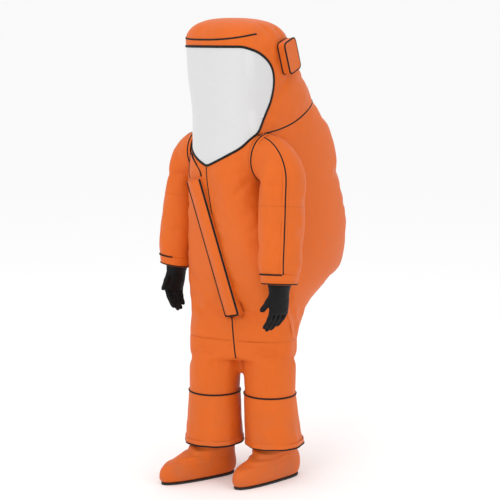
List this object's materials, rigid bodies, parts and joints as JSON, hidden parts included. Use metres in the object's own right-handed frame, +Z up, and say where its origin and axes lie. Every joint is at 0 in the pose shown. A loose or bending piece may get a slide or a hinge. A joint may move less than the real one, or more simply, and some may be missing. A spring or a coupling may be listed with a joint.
{
  "type": "gas-tight chemical protective suit",
  "caption": "Encapsulating chemical suit, standing, with a visor hood, a hump for a breathing set, sealed gloves, sock boots, splash flaps and a zip under a storm flap.",
  "frame": {"origin": "on the floor, under the middle of the suit's box", "axes": "+Z up along the standing suit, the front faces -Y, the wearer's left is +X"},
  "size_m": [0.773, 0.88, 1.8911],
  "materials": {
    "suit_fabric": "coated woven fabric, satin",
    "cover_fabric": "coated woven fabric, satin",
    "hem_tape": "taped hem, matt",
    "visor_sheet": "clear glossy sheet",
    "visor_seal": "matt",
    "glove_rubber": "satin",
    "sole_rubber": "matt",
    "grey_plastic": "matt",
    "valve_rubber": "matt",
    "valve_silicone": "satin",
    "clamp_steel": "brushed",
    "zip_metal": "satin",
    "webbing": "matt"
  },
  "bodies": {
    "suit": {"hood": "suit_fabric", "visor": "visor_sheet", "visor_seal": "visor_seal", "torso_front_left": "suit_fabric", "torso_front_right": "suit_fabric", "torso_back": "suit_fabric", "leg_left": "suit_fabric", "leg_right": "suit_fabric", "sock_left": "suit_fabric", "sock_right": "suit_fabric", "sole_left": "sole_rubber", "sole_right": "sole_rubber", "boot_flap_left": "suit_fabric", "boot_flap_right": "suit_fabric", "zip_placket": "suit_fabric", "zip_tape": "webbing", "zip_chain": "zip_metal", "zip_stop_bottom": "zip_metal", "zip_stop_top": "zip_metal", "grip_strip_placket": "webbing", "storm_flap_top": "suit_fabric", "valve_seat_left": "valve_rubber", "valve_seat_right": "valve_rubber", "valve_nut_left": "grey_plastic", "valve_nut_right": "grey_plastic"},
    "left_upper_arm": {"sleeve_upper_left": "suit_fabric", "elbow_left": "suit_fabric"},
    "left_forearm": {"sleeve_lower_left": "suit_fabric", "cuff_left": "suit_fabric", "glove_ring_left": "grey_plastic", "glove_left": "glove_rubber", "glove_clamp_left": "clamp_steel"},
    "left_valve_cover": {"valve_cover_left": "cover_fabric"},
    "left_valve_disc": {"valve_disc_left": "valve_silicone"},
    "left_boot_hem": {"boot_hem_left": "hem_tape"},
    "right_upper_arm": {"sleeve_upper_right": "suit_fabric", "elbow_right": "suit_fabric"},
    "right_forearm": {"sleeve_lower_right": "suit_fabric", "cuff_right": "suit_fabric", "glove_ring_right": "grey_plastic", "glove_right": "glove_rubber", "glove_clamp_right": "clamp_steel"},
    "right_valve_cover": {"valve_cover_right": "cover_fabric"},
    "right_valve_disc": {"valve_disc_right": "valve_silicone"},
    "right_boot_hem": {"boot_hem_right": "hem_tape"},
    "storm_flap": {"storm_flap": "suit_fabric", "grip_strip_flap": "webbing"},
    "zip_slider": {"zip_slider": "zip_metal", "zip_pull": "webbing"}
  },
  "joints": [
    {"name": "left_shoulder", "type": "hinge", "parent": "suit", "child": "left_upper_arm", "pos_m": [0.1913, -0.14298, 1.355], "axis": [-1, 0, 0], "range_deg": [-35, 140]},
    {"name": "left_elbow", "type": "hinge", "parent": "left_upper_arm", "child": "left_forearm", "pos_m": [0.30766, -0.16644, 1.053], "axis": [-0.996, -0.0102, -0.0885], "range_deg": [0, 80], "deforming": ["elbow_left"]},
    {"name": "left_cover_hinge", "type": "hinge", "parent": "suit", "child": "left_valve_cover", "pos_m": [0.16919, -0.04205, 1.81009], "axis": [0.3541, -0.8909, -0.2845], "range_deg": [0, 40]},
    {"name": "left_disc_lift", "type": "slide", "parent": "suit", "child": "left_valve_disc", "axis": [0.935, 0.3438, 0.0871], "range_m": [0, 0.004], "stiffness_N_per_m": 60, "springref_m": -0.0008},
    {"name": "left_hem_lift", "type": "slide", "parent": "suit", "child": "left_boot_hem", "axis": [-0.0143, -0.1099, 0.9938], "range_m": [0, 0.1], "deforming": ["boot_flap_left"]},
    {"name": "right_shoulder", "type": "hinge", "parent": "suit", "child": "right_upper_arm", "pos_m": [-0.1913, -0.14298, 1.355], "axis": [-1, 0, 0], "range_deg": [-35, 140]},
    {"name": "right_elbow", "type": "hinge", "parent": "right_upper_arm", "child": "right_forearm", "pos_m": [-0.30766, -0.16644, 1.053], "axis": [-0.996, 0.0102, 0.0885], "range_deg": [0, 80], "deforming": ["elbow_right"]},
    {"name": "right_cover_hinge", "type": "hinge", "parent": "suit", "child": "right_valve_cover", "pos_m": [-0.16919, -0.04205, 1.81009], "axis": [0.3541, 0.8909, 0.2845], "range_deg": [0, 40]},
    {"name": "right_disc_lift", "type": "slide", "parent": "suit", "child": "right_valve_disc", "axis": [-0.935, 0.3438, 0.0871], "range_m": [0, 0.004], "stiffness_N_per_m": 60, "springref_m": -0.0008},
    {"name": "right_hem_lift", "type": "slide", "parent": "suit", "child": "right_boot_hem", "axis": [0.0144, 0.0096, 0.9998], "range_m": [0, 0.1], "deforming": ["boot_flap_right"]},
    {"name": "storm_flap_hinge", "type": "hinge", "parent": "suit", "child": "storm_flap", "pos_m": [-0.05708, -0.24064, 0.97126], "axis": [0.2056, 0.1812, -0.9617], "range_deg": [0, 74]},
    {"name": "zip_slide", "type": "slide", "parent": "suit", "child": "zip_slider", "axis": [0.2056, 0.1812, -0.9617], "range_m": [0, 0.486]}
  ]
}
